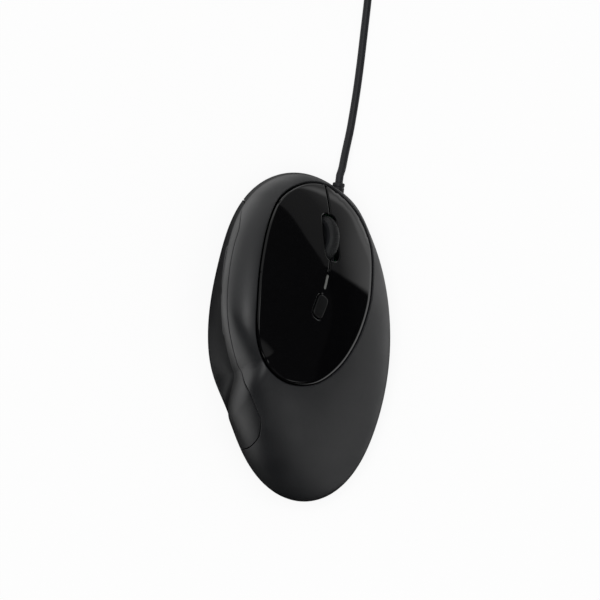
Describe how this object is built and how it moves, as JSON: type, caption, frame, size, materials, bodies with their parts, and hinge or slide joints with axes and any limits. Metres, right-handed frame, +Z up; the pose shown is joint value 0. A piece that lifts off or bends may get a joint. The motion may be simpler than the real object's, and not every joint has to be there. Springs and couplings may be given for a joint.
{
  "type": "vertical ergonomic mouse",
  "caption": "Wired right-handed vertical mouse: slanted black shell, glossy button panel with sprung leaves, scroll wheel, thumb rest with side keys, coiled cord and plug.",
  "frame": {"origin": "on the table under the middle of the body, at the level of the glide feet", "axes": "+Y towards the cord end, +X to the finger side, +Z up"},
  "size_m": [0.0791, 0.2756, 0.0699],
  "materials": {
    "shell_black": "fine matt texture, moulded",
    "base_black": "matt, moulded",
    "panel_gloss": "polished black, moulded",
    "thumb_key": "satin black",
    "lamp_white": "clouded, moulded",
    "wheel_rubber": "matt with cross notches",
    "wheel_hub": "matt, moulded",
    "frame_plastic": "matt, moulded",
    "switch_black": "matt, moulded",
    "switch_stem": "matt, moulded",
    "board_green": "lacquered board",
    "chip_black": "moulded package",
    "lens_clear": "clear moulding",
    "led_red": "clear red",
    "wire_sleeve": "wire sleeve",
    "connector_white": "matt, moulded",
    "screw_steel": "zinc plated",
    "foot_grey": "slick low-friction film",
    "cord_black": "soft matt jacket",
    "tie_black": "satin strip",
    "plug_metal": "nickel plated"
  },
  "bodies": {
    "housing": {"main_shell": "shell_black", "thumb_panel": "shell_black", "base_plate": "base_black", "button_panel": "panel_gloss", "light_pipe": "lamp_white", "indicator_led": "lamp_white", "inner_frame": "frame_plastic", "side_bracket": "frame_plastic", "dpi_switch": "switch_black", "wheel_switch": "switch_black", "left_switch": "switch_black", "right_switch": "switch_black", "side_switches": "switch_black", "scroll_encoder": "switch_black", "button_board": "board_green", "main_board": "board_green", "side_board": "board_green", "optical_sensor": "chip_black", "controller_chip": "chip_black", "sensor_lens": "lens_clear", "sensor_led": "led_red", "board_harness": "wire_sleeve", "cord_connector": "connector_white", "plug_tongue": "connector_white", "base_screws": "screw_steel", "board_screws": "screw_steel", "glide_feet": "foot_grey", "cord": "cord_black", "cord_coil": "cord_black", "cord_tail": "cord_black", "inner_cord": "cord_black", "strain_relief": "cord_black", "plug_body": "cord_black", "cord_tie": "tie_black", "plug_shell": "plug_metal"},
    "left_leaf": {"left_button": "panel_gloss"},
    "right_leaf": {"right_button": "panel_gloss"},
    "left_click": {"left_plunger": "switch_stem"},
    "right_click": {"right_plunger": "switch_stem"},
    "carrier": {"wheel_carrier": "frame_plastic"},
    "wheel": {"wheel_hub": "wheel_hub", "wheel_tyre": "wheel_rubber"},
    "wheel_click": {"wheel_stem": "switch_stem"},
    "dpi": {"dpi_button": "panel_gloss", "dpi_stem": "switch_stem"},
    "forward": {"forward_button": "thumb_key", "forward_stem": "switch_stem"},
    "back": {"back_button": "thumb_key", "back_stem": "switch_stem"}
  },
  "joints": [
    {"name": "left_press", "type": "hinge", "parent": "housing", "child": "left_leaf", "pos_m": [0.01212, 0.0273, 0.04371], "axis": [-0.7931, 0, 0.6091], "range_deg": [0, 1.2], "stiffness_Nm_per_rad": 0.53, "springref_deg": -0.57},
    {"name": "right_press", "type": "hinge", "parent": "housing", "child": "right_leaf", "pos_m": [0.01212, 0.0273, 0.04371], "axis": [-0.7312, 0, 0.6822], "range_deg": [0, 1.6], "stiffness_Nm_per_rad": 0.42, "springref_deg": -0.57},
    {"name": "left_plunge", "type": "slide", "parent": "housing", "child": "left_click", "axis": [-0.6671, -0.2079, -0.7154], "range_m": [0, 0.0005]},
    {"name": "right_plunge", "type": "slide", "parent": "housing", "child": "right_click", "axis": [-0.6671, -0.2079, -0.7154], "range_m": [0, 0.0005]},
    {"name": "wheel_press", "type": "hinge", "parent": "housing", "child": "carrier", "pos_m": [0.00813, 0.02621, 0.03579], "axis": [-0.745, 0.1862, 0.6406], "range_deg": [0, 1.8], "stiffness_Nm_per_rad": 0.33, "springref_deg": -0.57},
    {"name": "wheel_plunge", "type": "slide", "parent": "housing", "child": "wheel_click", "axis": [-0.6671, -0.2079, -0.7154], "range_m": [0, 0.0003]},
    {"name": "wheel_spin", "type": "hinge", "parent": "carrier", "child": "wheel", "pos_m": [0.00813, 0.04042, 0.03166], "axis": [0.745, -0.1862, -0.6406], "continuous": true},
    {"name": "dpi_press", "type": "slide", "parent": "housing", "child": "dpi", "axis": [-0.6671, -0.2079, -0.7154], "range_m": [0, 0.0004], "stiffness_N_per_m": 3000, "springref_m": -0.0001},
    {"name": "forward_press", "type": "slide", "parent": "housing", "child": "forward", "axis": [1, 0, 0], "range_m": [0, 0.0005], "stiffness_N_per_m": 3000, "springref_m": -0.0001},
    {"name": "back_press", "type": "slide", "parent": "housing", "child": "back", "axis": [1, 0, 0], "range_m": [0, 0.0005], "stiffness_N_per_m": 3000, "springref_m": -0.0001}
  ],
  "couplings": [
    {"joint": "left_plunge", "follows": "left_press", "m_per_rad": 0.0186},
    {"joint": "right_plunge", "follows": "right_press", "m_per_rad": 0.01355},
    {"joint": "wheel_plunge", "follows": "wheel_press", "m_per_rad": 0.007}
  ]
}
